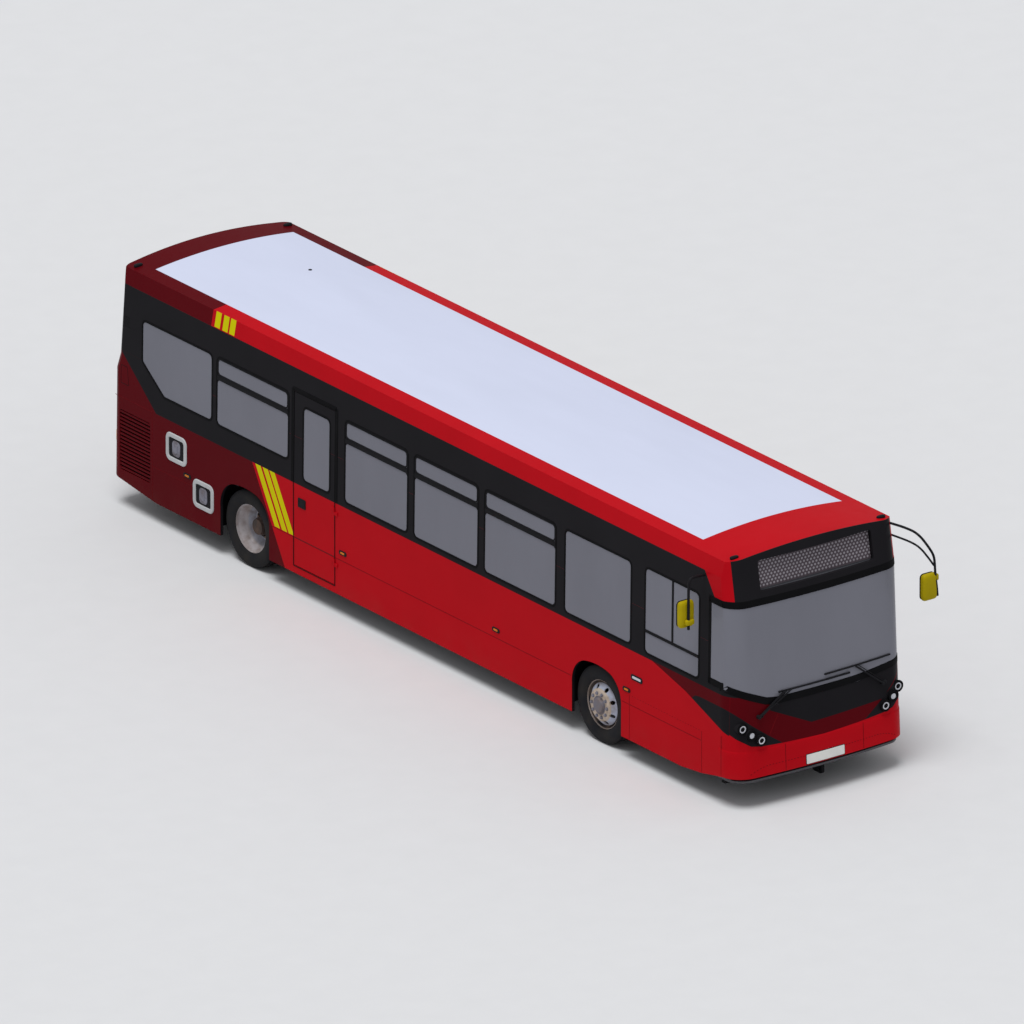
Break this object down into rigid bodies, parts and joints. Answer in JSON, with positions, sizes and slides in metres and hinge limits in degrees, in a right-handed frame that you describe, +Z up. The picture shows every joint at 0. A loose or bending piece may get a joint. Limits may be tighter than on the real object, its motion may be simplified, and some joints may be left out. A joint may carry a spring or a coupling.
{
  "type": "single-deck low-floor city bus, right-hand drive, single entry doorway",
  "caption": "Full-size city bus with steered front wheels, twin rear wheels, a two-leaf entry door, an emergency door, an engine door and a furnished low-floor saloon.",
  "frame": {"origin": "on the road under the middle of the overall box", "axes": "+Z up, +Y to the rear of the bus, +X to its left (kerb) side"},
  "size_m": [3.05, 12.223, 3.0399],
  "materials": {
    "frame_paint": "satin chassis black",
    "floor_cover": "grey slip-resistant floor covering",
    "body_paint": "gloss red with a maroon rear and nose, yellow stripes, black window band and white roof",
    "screen_glass": "clear laminated glass",
    "tinted_glass": "grey tinted glass",
    "axle_iron": "black painted castings",
    "black_plastic": "satin black mouldings",
    "black_frame": "satin black door frames",
    "lamp_glass": "clear lamp lenses",
    "display_board": "dotted grey display board",
    "amber_lens": "amber lamp lenses",
    "red_lens": "red lamp lenses",
    "yellow_plastic": "yellow mirror shells",
    "cab_panel": "grained grey cab mouldings",
    "seat_fabric": "blue woven seat covers",
    "rail_yellow": "yellow powder-coated tubes",
    "wheel_paint": "silver wheel enamel, a little brown with road dirt",
    "tyre": "black road tyre rubber"
  },
  "bodies": {
    "bus_body": {"front_ladder": "frame_paint", "kick_rails": "frame_paint", "rear_ladder": "frame_paint", "engine_cradle": "frame_paint", "low_floor": "floor_cover", "floor_step": "floor_cover", "rear_deck": "floor_cover", "engine_cover": "floor_cover", "offside_wall": "body_paint", "nearside_wall": "body_paint", "roof": "body_paint", "front_frame": "body_paint", "front_mask": "body_paint", "front_bumper": "body_paint", "rear_body": "body_paint", "windscreen": "screen_glass", "saloon_glass": "tinted_glass", "wheel_boxes": "frame_paint", "front_axle": "axle_iron", "rear_axle": "axle_iron", "engine": "axle_iron", "headlamp_housings": "black_plastic", "headlamp_lenses": "lamp_glass", "destination_display": "display_board", "marker_lamps": "amber_lens", "tail_lamps": "red_lens", "mirror_arms": "black_plastic", "mirror_heads": "yellow_plastic", "wipers": "black_plastic", "cab_partition": "cab_panel", "dashboard": "cab_panel", "steering_wheel": "black_plastic", "driver_seat": "seat_fabric", "seats": "seat_fabric", "handrails": "rail_yellow"},
    "knuckle_left": {"knuckle_left": "axle_iron"},
    "knuckle_right": {"knuckle_right": "axle_iron"},
    "front_wheel_left": {"front_rim_left": "wheel_paint", "front_tyre_left": "tyre"},
    "front_wheel_right": {"front_rim_right": "wheel_paint", "front_tyre_right": "tyre"},
    "rear_wheels_left": {"rear_rims_left": "wheel_paint", "rear_tyres_left": "tyre"},
    "rear_wheels_right": {"rear_rims_right": "wheel_paint", "rear_tyres_right": "tyre"},
    "entry_door_front": {"entry_leaf_front": "black_frame", "entry_glass_front": "tinted_glass"},
    "entry_door_rear": {"entry_leaf_rear": "black_frame", "entry_glass_rear": "tinted_glass"},
    "emergency_door": {"emergency_door": "body_paint", "emergency_glass": "tinted_glass"},
    "engine_door": {"engine_door": "body_paint"},
    "cab_door": {"cab_door": "cab_panel"}
  },
  "joints": [
    {"name": "steer_left", "type": "hinge", "parent": "bus_body", "child": "knuckle_left", "pos_m": [0.93, -3.236, 0.464], "axis": [0, 0, 1], "range_deg": [-45, 45]},
    {"name": "steer_right", "type": "hinge", "parent": "bus_body", "child": "knuckle_right", "pos_m": [-0.93, -3.236, 0.464], "axis": [0, 0, 1], "range_deg": [-45, 45]},
    {"name": "roll_front_left", "type": "hinge", "parent": "knuckle_left", "child": "front_wheel_left", "pos_m": [1.037, -3.236, 0.464], "axis": [1, 0, 0], "continuous": true},
    {"name": "roll_front_right", "type": "hinge", "parent": "knuckle_right", "child": "front_wheel_right", "pos_m": [-1.037, -3.236, 0.464], "axis": [1, 0, 0], "continuous": true},
    {"name": "roll_rear_left", "type": "hinge", "parent": "bus_body", "child": "rear_wheels_left", "pos_m": [0.8935, 3.47, 0.464], "axis": [1, 0, 0], "continuous": true},
    {"name": "roll_rear_right", "type": "hinge", "parent": "bus_body", "child": "rear_wheels_right", "pos_m": [-0.8935, 3.47, 0.464], "axis": [1, 0, 0], "continuous": true},
    {"name": "entry_door_front_swing", "type": "hinge", "parent": "bus_body", "child": "entry_door_front", "pos_m": [1.185, -5.151, 1.38], "axis": [0, 0, 1], "range_deg": [0, 90]},
    {"name": "entry_door_rear_swing", "type": "hinge", "parent": "bus_body", "child": "entry_door_rear", "pos_m": [1.185, -4.021, 1.38], "axis": [0, 0, -1], "range_deg": [0, 90]},
    {"name": "emergency_door_swing", "type": "hinge", "parent": "bus_body", "child": "emergency_door", "pos_m": [-1.229, 1.74, 1.4], "axis": [0, 0, 1], "range_deg": [0, 100]},
    {"name": "engine_door_lift", "type": "hinge", "parent": "bus_body", "child": "engine_door", "pos_m": [0, 6.104, 1.274], "axis": [1, 0, 0], "range_deg": [0, 85]},
    {"name": "cab_door_swing", "type": "hinge", "parent": "bus_body", "child": "cab_door", "pos_m": [-0.34, -4.052, 1], "axis": [0, 0, 1], "range_deg": [0, 80]}
  ],
  "couplings": [
    {"joint": "steer_right", "follows": "steer_left", "ratio": 1},
    {"joint": "entry_door_rear_swing", "follows": "entry_door_front_swing", "ratio": 1}
  ]
}
